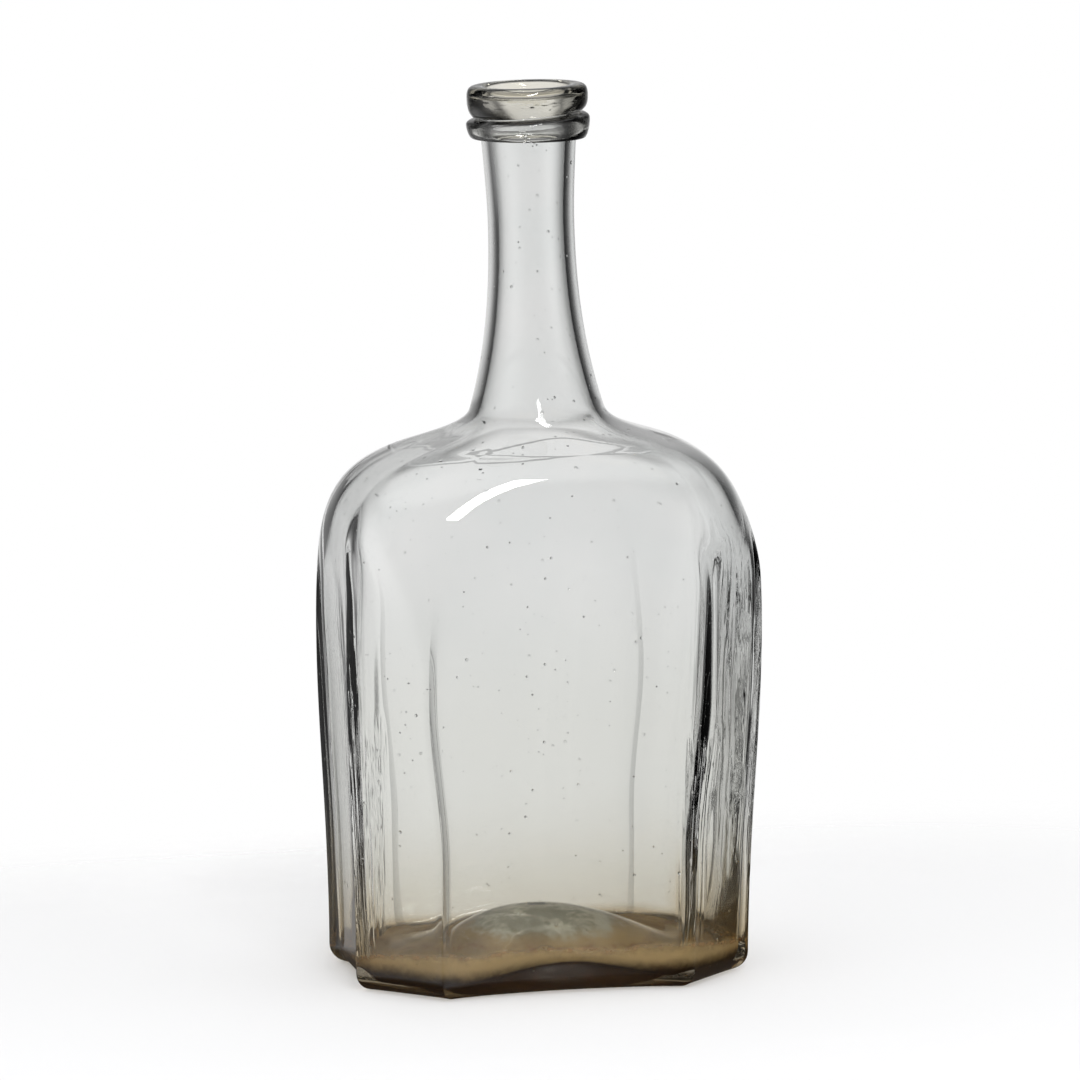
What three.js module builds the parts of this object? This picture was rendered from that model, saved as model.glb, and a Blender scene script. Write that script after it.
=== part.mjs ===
// A flattened, mould-blown clear glass carafe with a slender leaning neck.
// Two applied trails of glass finish the mouth and a rough scar sits under the pushed-up base.
// Sizes are millimetres. The foot stands on z = 0 and the two broad panels face -Y and +Y.

import * as THREE from 'three';

// Heights above the table, measured along the axis before the neck is leaned over
const mouthHeight = 260;
const collarCrown = 2.8;
const neckEndHeight = mouthHeight - collarCrown;
const neckWaistHeight = 222;
const neckFootHeight = 166;
const shoulderTurnHeight = 157;
const hipHeight = 102;

// The neck, a round tube that flares at both ends
const neckWaistRadius = 12.5;
const neckEndRadius = 14.8;
const neckFootRadius = 19.6;
const neckWall = 3.1;
const neckEndRounding = 0.6;
const neckFlarePower = 1.4;
const neckFootPower = 2.4;

// The body, an upright box with four canted corners
const hipHalfWidth = 62;
const hipHalfDepth = 40.5;
const footWidthDrawIn = 3;
const footDepthDrawIn = 1.5;
const footHalfWidth = hipHalfWidth - footWidthDrawIn;
const footHalfDepth = hipHalfDepth - footDepthDrawIn;
const hipBroadRun = 41.7;
const footBroadRun = 37.6;
const hipEndRun = 22;
const footEndRun = 19.5;
const shoulderTurnHalfWidth = 37;
const shoulderTurnFall = THREE.MathUtils.degToRad(17.2);
const bodyWall = 2.6;
const shoulderWall = 2.4;
const shoulderDrift = 1.2;
const driftStartHeight = 112;

// How far each end of a profile curve keeps its first direction, as a share of the curve's size
const sideHandle = 0.3;
const hipHandle = 0.72;
const turnHandle = 0.78;
const hollowTurnHandle = 0.5;
const neckFootHandle = 0.45;

// The panels sink between their edges, deepest near the foot
const broadPanelSink = 2.4;
const endPanelSink = 2.6;
const cantedPanelSink = 0.4;
const sinkStartHeight = 136;
const sinkFullHeight = 78;
const outerSinkPower = 10;
const innerSinkPower = 3;

// The edges wander in an S as the faces between them change their widths over these heights
const runLowHeight = 38;
const runHighHeight = 88;

// How tight the upright edges are outside and inside, and how high up each one stays crisp.
// Lists of edges run anticlockwise from the right end of the front.
const outerEdgeRadius = 3;
const innerEdgeRadii = [6, 6, 6, 6, 12, 22, 6, 6];
const edgeSharpness = 8.4;
const edgeCrispHeights = [118, 106, 84, 88, 112, 130, 92, 118];

// The glass gathered thicker behind the canted faces and the ends, by this much at each edge
const cantedGathers = [0.8, 0.7, 0.7, 0.7, 0.5, 0.1, 0.5, 1.6];
const endGathers = [0.7, 0.7, 0, 0, 0.2, 0.2, 0, 0];
const gatherFullHeight = 40;
const gatherTopHeight = 142;

// The foot: a rounded heel, a flat band to stand on and a kick pushed up inside it
const heelRadius = 5.5;
const restBandWidth = 3.6;
const floorEdgeHeight = 3.4;
const floorCrestHeight = 18.4;
const floorBellHalfWidth = 52;
const floorBellHalfDepth = 44;
const floorThickness = 4.8;
const floorFilletRadius = 4.5;
const floorLiftHeight = 60;
const kickFlatPower = 6;
const heelWallGain = 1.2;
const heelWallHeight = 26;

// The neck leans a little to the left
const leanAngle = THREE.MathUtils.degToRad(1.75);
const leanStartHeight = 138;
const leanEndHeight = 165;

// The rolled collar that caps the end of the neck, and the string ring under it
const trailClearance = 0.3;
const collarRadius = 17.5;
const collarHeight = 8.4;
const collarSlant = 0.73;
const collarSkirtInset = 2.4;
const lipSetIn = 0.3;
const rollDepth = 1.45;
const ringRadius = 17.9;
const ringHeight = 6.7;
const ringSlant = -0.35;
const ringRootStep = 0.35;
const trailFullness = 2.2;

// The scar left by the rod that held the base while the mouth was finished
const scarRadius = 13;
const scarThickness = 2.6;
const scarOffset = -3;
const scarClearance = 0.4;
const scarLobe = 0.65;
const scarNick = 0.4;
const scarRoughness = 0.35;
const scarHollow = 0.55;
const scarLeastThickness = 0.4;

// How finely the surfaces are divided
const broadSteps = 10;
const endSteps = 6;
const cantedSteps = 6;
const scarSides = 32;

const panels = [
  { sink: endPanelSink, steps: endSteps },
  { sink: cantedPanelSink, steps: cantedSteps },
  { sink: broadPanelSink, steps: broadSteps },
  { sink: cantedPanelSink, steps: cantedSteps },
  { sink: endPanelSink, steps: endSteps },
  { sink: cantedPanelSink, steps: cantedSteps },
  { sink: broadPanelSink, steps: broadSteps },
  { sink: cantedPanelSink, steps: cantedSteps },
];

const { lerp, clamp, smoothstep } = THREE.MathUtils;

// Radius of the neck's outer face, an even flare above and below its waist
function neckRadius(height) {
  if (height >= neckWaistHeight) {
    const rise = (height - neckWaistHeight) / (neckEndHeight - neckWaistHeight);
    return lerp(neckWaistRadius, neckEndRadius, rise ** neckFlarePower);
  }
  const drop = (neckWaistHeight - height) / (neckWaistHeight - neckFootHeight);
  return neckWaistRadius + (neckFootRadius - neckWaistRadius) * drop ** neckFootPower;
}

// The shoulder leaves the neck in a hollow curve and turns over in a full one
const neckSwell = neckFootRadius - neckWaistRadius;
const neckFootSlope = (neckFootPower * neckSwell) / (neckWaistHeight - neckFootHeight);
const turnDirection = new THREE.Vector2(Math.cos(shoulderTurnFall), -Math.sin(shoulderTurnFall));
const neckFoot = new THREE.Vector2(neckFootRadius, neckFootHeight);
const turn = new THREE.Vector2(shoulderTurnHalfWidth, shoulderTurnHeight);
const hip = new THREE.Vector2(hipHalfWidth, hipHeight);
const heel = new THREE.Vector2(footHalfWidth, heelRadius);

const hollowReach = neckFootHandle * (neckFootHeight - shoulderTurnHeight);
const fullReach = turnHandle * (hipHalfWidth - shoulderTurnHalfWidth);
const bodyHeight = hipHeight - heelRadius;

const hollowCurve = new THREE.CubicBezierCurve(
  turn,
  turn.clone().addScaledVector(turnDirection, -hollowTurnHandle * (shoulderTurnHalfWidth - neckFootRadius)),
  neckFoot.clone().add(new THREE.Vector2(neckFootSlope * hollowReach, -hollowReach)),
  neckFoot,
);
const fullCurve = new THREE.CubicBezierCurve(
  hip,
  hip.clone().add(new THREE.Vector2(0, hipHandle * (shoulderTurnHeight - hipHeight))),
  turn.clone().addScaledVector(turnDirection, fullReach),
  turn,
);
const sideCurve = new THREE.CubicBezierCurve(
  heel,
  heel.clone().add(new THREE.Vector2(0, sideHandle * bodyHeight)),
  hip.clone().add(new THREE.Vector2(0, -sideHandle * bodyHeight)),
  hip,
);

// Half depth of the body where its half width is known: the same rise, drawn in to the thinner way
function depthFor(width, height) {
  if (height <= hipHeight) {
    const share = (width - footHalfWidth) / (hipHalfWidth - footHalfWidth);
    return lerp(footHalfDepth, hipHalfDepth, share);
  }
  const share = (width - neckFootRadius) / (hipHalfWidth - neckFootRadius);
  return lerp(neckFootRadius, hipHalfDepth, share);
}

// The left shoulder is the fuller one, by twice this drift of the shoulder's middle
function drift(height) {
  const rise = clamp((height - driftStartHeight) / (neckFootHeight - driftStartHeight), 0, 1);
  return shoulderDrift * Math.sin(Math.PI * rise) ** 2;
}

// One level of the body: its two half sizes and the plane of its canted corners
function bodyLevel(profileWidth, height) {
  const width = profileWidth + drift(height);
  const depth = depthFor(profileWidth, height);
  const rise = smoothstep(height, runLowHeight, runHighHeight);
  const shrink = height > hipHeight ? width / hipHalfWidth : 1;
  const broadRun = lerp(footBroadRun, hipBroadRun, rise) * shrink;
  const endRun = (lerp(footEndRun, hipEndRun, rise) * depth) / lerp(footHalfDepth, hipHalfDepth, rise);
  const cant = new THREE.Vector2(depth - endRun, width - broadRun).normalize();
  const cantDistance = cant.x * width + cant.y * endRun;
  return { width, depth, broadRun, endRun, height, cant, cantDistance };
}

// The eight edge directions of a level, anticlockwise from the right end of the front
function edgeAngles(level) {
  const end = Math.atan2(level.endRun, level.width);
  const broad = Math.atan2(level.depth, level.broadRun);
  return [
    -end,
    end,
    broad,
    Math.PI - broad,
    Math.PI - end,
    Math.PI + end,
    Math.PI + broad,
    2 * Math.PI - broad,
    2 * Math.PI - end,
  ];
}

// Softness is 1 / power of a rounded polygon: 0.5 is an ellipse, and near 0 the edges are sharp
function edgeSoftness(height, radius, crisp) {
  const tightest = radius / (edgeSharpness * hipHalfWidth);
  const rise = clamp((neckFootHeight - height) / (neckFootHeight - crisp), 0, 1);
  return tightest + (0.5 - tightest) * (1 - rise) ** 2;
}

// Distance from the axis to the outline of a level, with each plane drawn in by its wall
function outlineRadius(level, angle, softness, walls) {
  const along = Math.abs(Math.cos(angle));
  const across = Math.abs(Math.sin(angle));
  const end = along / (level.width - walls.end);
  const broad = across / (level.depth - walls.broad);
  const corner = (along * level.cant.x + across * level.cant.y) / (level.cantDistance - walls.canted);
  const cornerShare = smoothstep(neckFootHeight - level.height, 0, neckFootHeight - hipHeight);
  const nearest = Math.max(end, broad, corner);
  const power = 1 / softness;
  const square = (end / nearest) ** power + (broad / nearest) ** power;
  const total = square + cornerShare * (corner / nearest) ** power;
  return 1 / (nearest * total ** softness);
}

// Every station round a level: its angle and its place between two edges
function stations(level) {
  const angles = edgeAngles(level);
  return panels.flatMap((panel, index) =>
    Array.from({ length: panel.steps }, (_, step) => {
      const place = (1 - Math.cos((Math.PI * step) / panel.steps)) / 2;
      return { index, place, panel, angle: lerp(angles[index], angles[index + 1], place) };
    }),
  );
}

// A value of each edge, eased across the panel from the edge before it to the one after
const betweenEdges = (values, { index, place }) =>
  lerp(values[index], values[(index + 1) % values.length], smoothstep(place, 0, 1));

const panelDepth = (level, { place, panel }, power) => {
  const share = 1 - smoothstep(level.height, sinkFullHeight, sinkStartHeight);
  return panel.sink * share * (1 - Math.abs(2 * place - 1) ** power);
};

const outerRadii = (level) =>
  stations(level).map((station) => {
    const softness = edgeSoftness(level.height, outerEdgeRadius, betweenEdges(edgeCrispHeights, station));
    const outline = outlineRadius(level, station.angle, softness, { end: 0, broad: 0, canted: 0 });
    return { angle: station.angle, radius: outline - panelDepth(level, station, outerSinkPower) };
  });

// The inner face keeps its own rounder edges, and the wall behind it is thicker where glass gathered
const innerRadii = (level, wall) =>
  stations(level).map((station) => {
    const share = 1 - smoothstep(level.height, gatherFullHeight, gatherTopHeight);
    const end = wall + betweenEdges(endGathers, station) * share;
    const canted = wall + betweenEdges(cantedGathers, station) * share;
    const edgeRadius = betweenEdges(innerEdgeRadii, station);
    const softness = edgeSoftness(level.height, edgeRadius, betweenEdges(edgeCrispHeights, station));
    const outline = outlineRadius(level, station.angle, softness, { end, broad: wall, canted });
    return { angle: station.angle, radius: outline - panelDepth(level, station, innerSinkPower) };
  });

// The neck bends over a short arc and is straight above it
const leanRadius = (leanEndHeight - leanStartHeight) / leanAngle;

function leaned(x, y, height) {
  const run = clamp(height, leanStartHeight, leanEndHeight) - leanStartHeight;
  const bend = run / leanRadius;
  const beyond = Math.max(0, height - leanEndHeight);
  const centreX = -leanRadius * (1 - Math.cos(bend)) - beyond * Math.sin(leanAngle) - drift(height);
  const straight = Math.min(height, leanStartHeight);
  const centreZ = straight + leanRadius * Math.sin(bend) + beyond * Math.cos(leanAngle);
  return new THREE.Vector3(centreX + x * Math.cos(bend), y, centreZ + x * Math.sin(bend));
}

const ringOf = (radii, heightAt, inset = 0) =>
  radii.map(({ angle, radius }) => {
    const reach = radius - inset;
    const x = reach * Math.cos(angle);
    const y = reach * Math.sin(angle);
    return leaned(x, y, heightAt(angle, reach));
  });

// Height of the inner floor: an oval bell with its crest on the axis
const floorHeight = (angle, reach) => {
  const along = (reach * Math.cos(angle)) / floorBellHalfWidth;
  const across = (reach * Math.sin(angle)) / floorBellHalfDepth;
  const fall = (1 + Math.cos(Math.PI * Math.min(Math.hypot(along, across), 1))) / 2;
  return floorEdgeHeight + (floorCrestHeight - floorEdgeHeight) * fall;
};

// Height of the underside of the kick, which fades into the flat band that the carafe stands on
const kickHeight = (angle, reach, bandReach) => {
  const share = clamp(reach / bandReach, 0, 1);
  return Math.max(0, floorHeight(angle, reach) - floorThickness) * (1 - share ** kickFlatPower);
};

// Thickness of the wall by height, thicker towards the heel
function wallAt(height) {
  const heelShare = 1 - smoothstep(height, 0, heelWallHeight);
  const neckShare = smoothstep(height, shoulderTurnHeight, 2 * neckFootHeight - shoulderTurnHeight);
  const shoulderShare = smoothstep(height, hipHeight, shoulderTurnHeight);
  return lerp(lerp(bodyWall, shoulderWall, shoulderShare), neckWall, neckShare) + heelWallGain * heelShare;
}

const spaced = (count, from, to) => Array.from({ length: count }, (_, i) => lerp(from, to, i / (count - 1)));

// Points along a profile curve with the inward normal at each of them
const profile = (curve, shares) =>
  shares.map((share) => {
    const point = curve.getPoint(share);
    const tangent = curve.getTangent(share);
    return { width: point.x, height: point.y, inward: new THREE.Vector2(-tangent.y, tangent.x) };
  });

const footLevel = bodyLevel(footHalfWidth, heelRadius);
const footRadii = outerRadii(footLevel);
const neckStations = stations(bodyLevel(neckFootRadius, neckFootHeight));

function undersideRings() {
  const bandInset = heelRadius + restBandWidth;
  const bandRadii = footRadii.map(({ angle, radius }) => ({ angle, radius: radius - bandInset }));
  const kickRings = [0.15, 0.3, 0.45, 0.6, 0.74, 0.86, 0.94].map((share) =>
    bandRadii.map(({ angle, radius }) => {
      const reach = radius * share;
      return new THREE.Vector3(
        reach * Math.cos(angle),
        reach * Math.sin(angle),
        kickHeight(angle, reach, radius),
      );
    }),
  );
  const flat = () => 0;
  return [...kickRings, ringOf(bandRadii, flat), ringOf(footRadii, flat, heelRadius)];
}

function heelRings() {
  return [0.25, 0.5, 0.75].map((share) => {
    const turned = (share * Math.PI) / 2;
    const inset = heelRadius * (1 - Math.sin(turned));
    return ringOf(footRadii, () => heelRadius * (1 - Math.cos(turned)), inset);
  });
}

const bodySides = profile(sideCurve, spaced(11, 0, 1));
const bodyShoulder = profile(fullCurve, spaced(9, 0, 1).slice(1));
const bodyHollow = profile(hollowCurve, spaced(5, 0, 1).slice(1));
const bodyProfile = [...bodySides, ...bodyShoulder, ...bodyHollow];

const outerBodyRings = () =>
  bodyProfile.map(({ width, height }) => ringOf(outerRadii(bodyLevel(width, height)), () => height));

const neckHeights = spaced(9, neckFootHeight, neckEndHeight - neckEndRounding).slice(1);

const neckRing = (radius, height) => neckStations.map(({ angle }) =>
  leaned(radius * Math.cos(angle), radius * Math.sin(angle), height));

const outerNeckRings = () => neckHeights.map((height) => neckRing(neckRadius(height), height));

function neckEndRings() {
  const outside = neckRadius(neckEndHeight);
  const inside = outside - neckWall;
  return [
    neckRing(outside - neckEndRounding, neckEndHeight),
    neckRing(inside + neckEndRounding, neckEndHeight),
  ];
}

const innerNeckRings = () =>
  [...neckHeights].reverse().map((height) => neckRing(neckRadius(height) - neckWall, height));

// The inner wall is the outer profile moved in by the wall. Low down it rides up over the floor.
function innerBodyRings() {
  return [...bodyProfile].reverse().map(({ width, height, inward }) => {
    const wall = wallAt(height);
    const level = bodyLevel(width, height);
    const radii = innerRadii(level, -wall * inward.x);
    const innerHeight = height + wall * inward.y;
    const fade = clamp(1 - (innerHeight - heelRadius) / floorLiftHeight, 0, 1) ** 2;
    const heightAt = (angle, reach) => {
      const foot = floorHeight(angle, reach - floorFilletRadius) + floorFilletRadius - heelRadius;
      return innerHeight + foot * fade;
    };
    return ringOf(radii, heightAt);
  });
}

function floorRings() {
  const inner = innerRadii(footLevel, wallAt(heelRadius));
  const seat = inner.map(({ angle, radius }) => floorHeight(angle, radius - floorFilletRadius));
  const fillet = [0.35, 0.7, 1].map((share) => {
    const turned = (share * Math.PI) / 2;
    return inner.map(({ angle, radius }, index) => {
      const reach = radius - floorFilletRadius * (1 - Math.cos(turned));
      const height = seat[index] + floorFilletRadius * (1 - Math.sin(turned));
      return new THREE.Vector3(reach * Math.cos(angle), reach * Math.sin(angle), height);
    });
  });
  const floor = [0.82, 0.62, 0.42, 0.22].map((share) =>
    inner.map(({ angle, radius }) => {
      const reach = (radius - floorFilletRadius) * share;
      return new THREE.Vector3(reach * Math.cos(angle), reach * Math.sin(angle), floorHeight(angle, reach));
    }),
  );
  return [...fillet, ...floor];
}

// Joins rings of equal length, from ring to ring, into one skin with its face outside
function skin(rings, poles) {
  const count = rings[0].length;
  const points = rings.flat();
  const faces = [];
  const lastRing = rings.length - (poles ? 1 : 0);
  for (let ring = 0; ring < lastRing; ring += 1) {
    const next = (ring + 1) % rings.length;
    for (let side = 0; side < count; side += 1) {
      const beside = (side + 1) % count;
      const a = ring * count + side;
      const b = ring * count + beside;
      const c = next * count + beside;
      const d = next * count + side;
      faces.push(a, b, c, a, c, d);
    }
  }
  if (poles) {
    const first = points.push(poles[0]) - 1;
    const last = points.push(poles[1]) - 1;
    const top = (rings.length - 1) * count;
    for (let side = 0; side < count; side += 1) {
      const beside = (side + 1) % count;
      faces.push(first, beside, side, top + side, top + beside, last);
    }
  }
  const geometry = new THREE.BufferGeometry().setFromPoints(points);
  geometry.setIndex(faces);
  geometry.computeVertexNormals();
  return geometry;
}

// The whole blown wall, from the middle of the underside, up the outside and down to the floor
function bodyGeometry() {
  const rings = [
    ...undersideRings(),
    ...heelRings(),
    ...outerBodyRings(),
    ...outerNeckRings(),
    ...neckEndRings(),
    ...innerNeckRings(),
    ...innerBodyRings(),
    ...floorRings(),
  ];
  const under = new THREE.Vector3(0, 0, floorCrestHeight - floorThickness);
  const floor = new THREE.Vector3(0, 0, floorCrestHeight);
  return skin(rings, [under, floor]);
}

// Trails are drawn in the neck's own straight axis, with its heights taken down from the mouth
const straightRing = (radiusAt, heightAt) => neckStations.map(({ angle }) => {
  const reach = radiusAt(angle);
  return new THREE.Vector3(reach * Math.cos(angle), reach * Math.sin(angle), heightAt(angle));
});

const collarFoot = (angle) => mouthHeight - collarHeight + collarSlant * Math.cos(angle);
const ringTop = (angle) => collarFoot(angle) - trailClearance;
const ringFootMiddle = mouthHeight - collarHeight - trailClearance - ringHeight;
const ringFoot = (angle) => ringFootMiddle + ringSlant * Math.cos(angle);

// Place on a rounded bulge: 0 is its widest point, 1 its top and -1 its foot
const bulge = (share) => {
  const turned = (share * Math.PI) / 2;
  const out = Math.abs(Math.cos(turned)) ** (2 / trailFullness);
  const up = Math.sign(share) * Math.abs(Math.sin(turned)) ** (2 / trailFullness);
  return { out, up };
};

// The collar wraps over the end of the neck, so its bore has a ledge that sits on the tube
function collarGeometry() {
  const lipRadius = neckRadius(neckEndHeight) - neckWall - lipSetIn;
  const rollMiddle = (collarRadius + lipRadius) / 2;
  const rollReach = (collarRadius - lipRadius) / 2;
  const seatHeight = neckEndHeight + trailClearance;
  const seatRadius = neckRadius(neckEndHeight) + trailClearance;
  const rollHalfHeight = (mouthHeight - seatHeight) * rollDepth;
  const rollHeight = mouthHeight - rollHalfHeight;
  const outside = [-1, -0.8, -0.55, -0.28, 0].map((share) => {
    const { out, up } = bulge(share);
    const skirt = collarRadius - collarSkirtInset;
    const radius = lerp(skirt, collarRadius, out);
    return straightRing(() => radius, (angle) => lerp(rollHeight, collarFoot(angle), -up));
  });
  const over = [0.25, 0.5, 0.75, 1].map((share) => {
    const { out, up } = bulge(share);
    return straightRing(() => rollMiddle + rollReach * out, () => rollHeight + rollHalfHeight * up);
  });
  const inside = [0.7, 0.4].map((share) => {
    const { out, up } = bulge(share);
    return straightRing(() => rollMiddle - rollReach * out, () => rollHeight + rollHalfHeight * up);
  });
  const ledge = [
    straightRing(() => lipRadius, () => seatHeight),
    straightRing(() => seatRadius, () => seatHeight),
    straightRing((angle) => neckRadius(collarFoot(angle)) + trailClearance, collarFoot),
  ];
  return skin([...outside, ...over, ...inside, ...ledge]);
}

function stringRingGeometry() {
  const seat = (heightAt) => (angle) => neckRadius(heightAt(angle)) + trailClearance;
  const outside = [-1, -0.75, -0.5, -0.25, 0, 0.25, 0.5, 0.75, 1].map((share) => {
    const { out, up } = bulge(share);
    const heightAt = (angle) => lerp(ringFoot(angle), ringTop(angle), (1 + up) / 2);
    const root = seat(heightAt);
    return straightRing((angle) => lerp(root(angle) + ringRootStep, ringRadius, out), heightAt);
  });
  return skin([...outside, straightRing(seat(ringTop), ringTop), straightRing(seat(ringFoot), ringFoot)]);
}

// A broken button of glass that follows the underside of the kick
function scarGeometry() {
  const under = (reach, angle) => {
    const x = scarOffset + reach * Math.cos(angle);
    const y = reach * Math.sin(angle);
    const roof = kickHeight(Math.atan2(y, x), Math.hypot(x, y), footHalfDepth - heelRadius - restBandWidth);
    return new THREE.Vector3(x, y, roof - scarClearance);
  };
  const angles = Array.from({ length: scarSides }, (_, side) => (2 * Math.PI * side) / scarSides);
  const edge = (angle) => scarRadius + scarLobe * Math.sin(3 * angle + 1) + scarNick * Math.sin(7 * angle);
  const depth = (share, angle) => {
    const ridge = 1 - scarHollow * (1 - share) ** 2;
    const broken = scarRoughness * Math.sin(5 * angle + 4 * share) * share;
    return scarThickness * ridge * Math.sqrt(1 - share ** 6) + broken * (1 - share ** 4);
  };
  const below = [0.35, 0.65, 0.88, 0.98].map((share) => angles.map((angle) => {
    const point = under(edge(angle) * share, angle);
    return point.setZ(point.z - Math.max(depth(share, angle), scarLeastThickness));
  }));
  const above = [1, 0.8, 0.5].map((share) => angles.map((angle) => under(edge(angle) * share, angle)));
  const bottom = under(0, 0);
  bottom.z -= depth(0, 0);
  return skin([...below, ...above], [bottom, under(0, 0)]);
}

const glass = (color, roughness) =>
  new THREE.MeshStandardMaterial({ color, roughness, metalness: 0, transparent: true, opacity: 0.4 });

const named = (name, geometry, material) => {
  const mesh = new THREE.Mesh(geometry, material);
  mesh.name = name;
  return mesh;
};

// The straight part of the neck carries both trails, so they share its lean
const neckAxis = new THREE.Group();
const axisFoot = leaned(0, 0, leanEndHeight);
neckAxis.position.copy(axisFoot);
neckAxis.rotation.y = -leanAngle;

const trails = new THREE.Group();
trails.position.z = -leanEndHeight;
trails.add(named('lip_collar', collarGeometry(), glass(0xd9d8cf, 0.08)));
trails.add(named('string_ring', stringRingGeometry(), glass(0xd3d5d6, 0.08)));
neckAxis.add(trails);

const carafe = new THREE.Group();
carafe.name = 'carafe';
carafe.add(named('glass_body', bodyGeometry(), glass(0xdcdedd, 0.05)));
carafe.add(neckAxis);
carafe.add(named('pontil_scar', scarGeometry(), glass(0xa9ada6, 0.55)));

export default carafe;
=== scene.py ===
import math

import bpy
import numpy as np
from mathutils import Matrix, Vector


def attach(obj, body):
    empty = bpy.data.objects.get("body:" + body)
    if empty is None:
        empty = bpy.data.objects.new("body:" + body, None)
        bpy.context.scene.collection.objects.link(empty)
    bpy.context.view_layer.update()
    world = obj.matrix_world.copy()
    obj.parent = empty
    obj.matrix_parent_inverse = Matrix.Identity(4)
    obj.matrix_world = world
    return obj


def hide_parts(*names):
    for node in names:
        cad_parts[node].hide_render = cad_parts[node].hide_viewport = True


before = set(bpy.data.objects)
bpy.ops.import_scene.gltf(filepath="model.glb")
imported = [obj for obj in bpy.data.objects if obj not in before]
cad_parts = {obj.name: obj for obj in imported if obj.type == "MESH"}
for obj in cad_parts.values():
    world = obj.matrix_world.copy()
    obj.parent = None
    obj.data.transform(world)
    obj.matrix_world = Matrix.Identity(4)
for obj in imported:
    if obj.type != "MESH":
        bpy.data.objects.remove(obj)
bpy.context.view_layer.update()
mm = 0.001
bpy.context.scene.view_settings.view_transform = "Standard"
print("frame loaded:", sorted(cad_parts))


# The camera, placed as in the photo
cameraView = {
    "azimuth": -13.5,       # degrees round from the front, towards the left end
    "distance": 1.7036,     # m, along the table
    "height": 0.409,
    "pitch": 9.40,          # degrees down
    "turn": 0.019,          # degrees, centres the carafe as the photograph does
    "lens": 197.6,
    "sensor": 36,
    "nearest": 0.05,
}


def placeCamera():
    azimuth = math.radians(cameraView["azimuth"])
    data = bpy.data.cameras.new("camera")
    data.lens = cameraView["lens"]
    data.sensor_width = cameraView["sensor"]
    data.clip_start = cameraView["nearest"]
    data.dof.use_dof = False
    camera = bpy.data.objects.new("camera", data)
    bpy.context.scene.collection.objects.link(camera)
    reach = cameraView["distance"]
    camera.location = (math.sin(azimuth) * reach, -math.cos(azimuth) * reach, cameraView["height"])
    camera.rotation_euler = (
        math.radians(90 - cameraView["pitch"]),
        0,
        azimuth - math.radians(cameraView["turn"]),
    )
    bpy.context.scene.camera = camera


placeCamera()
print("camera placed")


# Nodes as expressions
class Wire:
    # a socket in a node tree; sums and products on it add Math nodes
    def __init__(self, tree, socket):
        self.tree, self.socket = tree, socket

    def math(self, operation, other=None, first=None):
        inputs = {0: self if first is None else first, 1: other}
        values = {key: value for key, value in inputs.items() if value is not None}
        return self.tree.node("ShaderNodeMath", {"operation": operation}, values)

    def __add__(self, other):
        return self.math("ADD", other)

    def __radd__(self, other):
        return self.math("ADD", other)

    def __sub__(self, other):
        return self.math("SUBTRACT", other)

    def __rsub__(self, other):
        return self.math("SUBTRACT", self, first=other)

    def __mul__(self, other):
        return self.math("MULTIPLY", other)

    def __rmul__(self, other):
        return self.math("MULTIPLY", other)

    def __truediv__(self, other):
        return self.math("DIVIDE", other)

    def __rtruediv__(self, other):
        return self.math("DIVIDE", self, first=other)

    def __pow__(self, other):
        return self.math("POWER", other)

    def __rpow__(self, other):
        return self.math("POWER", self, first=other)


class Nodes:
    def __init__(self, tree):
        self.tree = tree
        tree.nodes.clear()

    def node(self, kind, settings=None, values=None, out=0):
        made = self.tree.nodes.new(kind)
        for key, value in (settings or {}).items():
            setattr(made, key, value)
        for key, value in (values or {}).items():
            if isinstance(value, Wire):
                self.tree.links.new(value.socket, made.inputs[key])
            else:
                made.inputs[key].default_value = value
        return Wire(self, made.outputs[out]) if made.outputs else made

    def smooth(self, value, low, high):
        # 0 at low, 1 at high, with soft ends
        return self.node(
            "ShaderNodeMapRange", {"interpolation_type": "SMOOTHSTEP"}, {0: value, 1: low, 2: high}
        )

    def blend(self, factor, first, second):
        # two colours; a Mix node takes them at inputs 6 and 7
        return self.node(
            "ShaderNodeMix", {"data_type": "RGBA", "clamp_factor": True}, {0: factor, 6: first, 7: second}, 2
        )

    def either(self, factor, first, second):
        return self.node("ShaderNodeMixShader", None, {0: factor, 1: first, 2: second})

    def vector(self, operation, place, other):
        return self.node("ShaderNodeVectorMath", {"operation": operation}, {0: place, 1: other})

    def parts(self, place):
        split = self.node("ShaderNodeSeparateXYZ", None, {0: place})
        return [Wire(self, output) for output in split.socket.node.outputs]

    def noise(self, place, scale, detail, roughness):
        return self.node(
            "ShaderNodeTexNoise", None,
            {"Vector": place, "Scale": scale, "Detail": detail, "Roughness": roughness},
        )

    def drawn(self, place, grain):
        # noise about zero, stretched along the height and scaled to its depth
        stretched = self.vector("MULTIPLY", place, (1, 1, grain["stretch"]))
        return (self.noise(stretched, grain["scale"], grain["detail"], grain["rough"]) - 0.5) * grain["depth"]

    def ray(self, name):
        return self.node("ShaderNodeLightPath", out="Is " + name + " Ray")

    def plain(self, kind, colour):
        return self.node("ShaderNodeBsdf" + kind, None, {"Color": colour})

    def finish(self, surface, kind="ShaderNodeOutputMaterial"):
        self.node(kind, None, {"Surface": surface})


def newMaterial(name):
    material = bpy.data.materials.new(name)
    material.use_nodes = True
    return material, Nodes(material.node_tree)


def mix(low, high, share):
    return low + (high - low) * share


def ease(value, low, high):
    share = np.clip((value - low) / (high - low), 0, 1)
    return share * share * (3 - 2 * share)


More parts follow.
